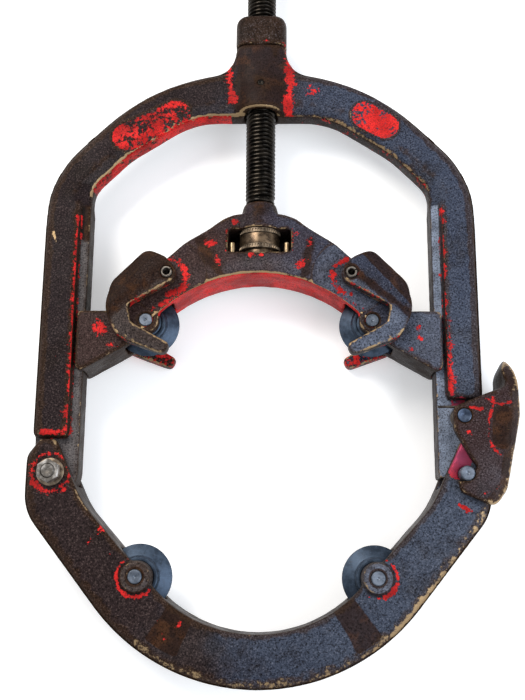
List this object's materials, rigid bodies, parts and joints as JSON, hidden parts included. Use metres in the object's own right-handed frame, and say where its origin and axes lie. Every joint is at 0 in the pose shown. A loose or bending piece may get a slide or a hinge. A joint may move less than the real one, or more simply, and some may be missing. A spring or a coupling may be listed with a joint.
{
  "type": "hinged pipe cutter",
  "caption": "Hinged pipe cutter: a latched gate and a screw-fed slide close cutter wheels round a pipe between self-returning guides.",
  "frame": {"origin": "centre of the pipe that the four wheels hold at rest, on the cutter's middle plane", "axes": "+Y along the feed screw towards its handle, +X from the hinge side to the latch side, +Z out of the front face along the pipe's axis; the cutter lies on its back"},
  "size_m": [0.3448, 0.5901, 0.061],
  "materials": {
    "frame_iron": "cast iron, worn dark, oily, with remains of red paint",
    "nut_iron": "cast iron, worn dark, with remains of red paint in the seam",
    "guide_iron": "cast iron, worn dark, with remains of red paint",
    "latch_iron": "cast iron, worn dark, with cracked remains of red paint",
    "handle_iron": "cast iron, worn dark",
    "handle_steel": "turned steel, darkened and worn",
    "screw_steel": "rolled thread, oily and dark",
    "collar_steel": "turned steel, oily",
    "bearing_steel": "steel rollers, oily",
    "pin_steel": "ground steel, scuffed",
    "roll_pin_steel": "hardened steel, worn rim",
    "spring_steel": "dark spring wire",
    "post_brass": "worn brass",
    "wheel_steel": "hardened tool steel, ground bevels",
    "bolt_steel": "plated steel, worn",
    "washer_steel": "steel, dull"
  },
  "bodies": {
    "upper_frame": {"upper_frame": "frame_iron", "feed_nut": "nut_iron", "feed_nut_pin": "pin_steel", "hinge_bolt": "bolt_steel", "hinge_nut": "bolt_steel", "hinge_washer_front": "washer_steel", "hinge_washer_back": "washer_steel", "latch_pin": "pin_steel", "latch_spring": "spring_steel"},
    "slide": {"slide": "frame_iron", "guide_pin_left": "roll_pin_steel", "guide_pin_right": "roll_pin_steel", "guide_spring_left": "spring_steel", "guide_spring_right": "spring_steel", "wheel_pin_upper_left": "pin_steel", "wheel_pin_upper_right": "pin_steel", "window_post_left": "post_brass", "window_post_right": "post_brass"},
    "feed_screw": {"feed_screw": "screw_steel", "thrust_collar": "collar_steel", "collar_pin": "pin_steel", "thrust_washer": "collar_steel", "thrust_bearing_upper": "bearing_steel", "thrust_bearing_lower": "bearing_steel", "handle_hub": "handle_iron", "handle_bar_left": "handle_steel", "handle_bar_right": "handle_steel", "handle_pin": "pin_steel"},
    "guide_left": {"guide_left": "guide_iron"},
    "guide_right": {"guide_right": "guide_iron"},
    "wheel_upper_left": {"cutter_wheel_upper_left": "wheel_steel"},
    "wheel_upper_right": {"cutter_wheel_upper_right": "wheel_steel"},
    "wheel_lower_left": {"cutter_wheel_lower_left": "wheel_steel"},
    "wheel_lower_right": {"cutter_wheel_lower_right": "wheel_steel"},
    "gate": {"lower_frame": "frame_iron", "catch_pin": "pin_steel", "wheel_pin_lower_left": "pin_steel", "wheel_pin_lower_right": "pin_steel"},
    "latch": {"latch": "latch_iron"}
  },
  "joints": [
    {"name": "slide_feed", "type": "slide", "parent": "upper_frame", "child": "slide", "axis": [0, 1, 0], "range_m": [-0.045, 0.065]},
    {"name": "screw_spin", "type": "hinge", "parent": "slide", "child": "feed_screw", "pos_m": [0, 0.2, 0], "axis": [0, 1, 0], "range_deg": [-5100, 7365]},
    {"name": "gate_swing", "type": "hinge", "parent": "upper_frame", "child": "gate", "pos_m": [-0.141, -0.0196, 0], "axis": [0, 0, 1], "range_deg": [-105, 0]},
    {"name": "latch_swing", "type": "hinge", "parent": "upper_frame", "child": "latch", "pos_m": [0.1404, 0.0194, 0], "axis": [0, 0, 1], "range_deg": [0, 19], "stiffness_Nm_per_rad": 0.6, "springref_deg": -20.05},
    {"name": "guide_left_swing", "type": "hinge", "parent": "slide", "child": "guide_left", "pos_m": [-0.0652, 0.121, 0], "axis": [0, 0, 1], "range_deg": [-15, 0], "stiffness_Nm_per_rad": 0.3, "springref_deg": 20.05},
    {"name": "guide_right_swing", "type": "hinge", "parent": "slide", "child": "guide_right", "pos_m": [0.0652, 0.121, 0], "axis": [0, 0, 1], "range_deg": [0, 15], "stiffness_Nm_per_rad": 0.3, "springref_deg": -20.05},
    {"name": "wheel_upper_left_spin", "type": "hinge", "parent": "slide", "child": "wheel_upper_left", "pos_m": [-0.0803, 0.0888, 0], "axis": [0, 0, 1], "continuous": true},
    {"name": "wheel_upper_right_spin", "type": "hinge", "parent": "slide", "child": "wheel_upper_right", "pos_m": [0.0803, 0.0888, 0], "axis": [0, 0, 1], "continuous": true},
    {"name": "wheel_lower_left_spin", "type": "hinge", "parent": "gate", "child": "wheel_lower_left", "pos_m": [-0.0803, -0.0888, 0], "axis": [0, 0, 1], "continuous": true},
    {"name": "wheel_lower_right_spin", "type": "hinge", "parent": "gate", "child": "wheel_lower_right", "pos_m": [0.0803, -0.0888, 0], "axis": [0, 0, 1], "continuous": true}
  ],
  "couplings": [
    {"joint": "slide_feed", "follows": "screw_spin", "m_per_rad": 0.00050532}
  ]
}
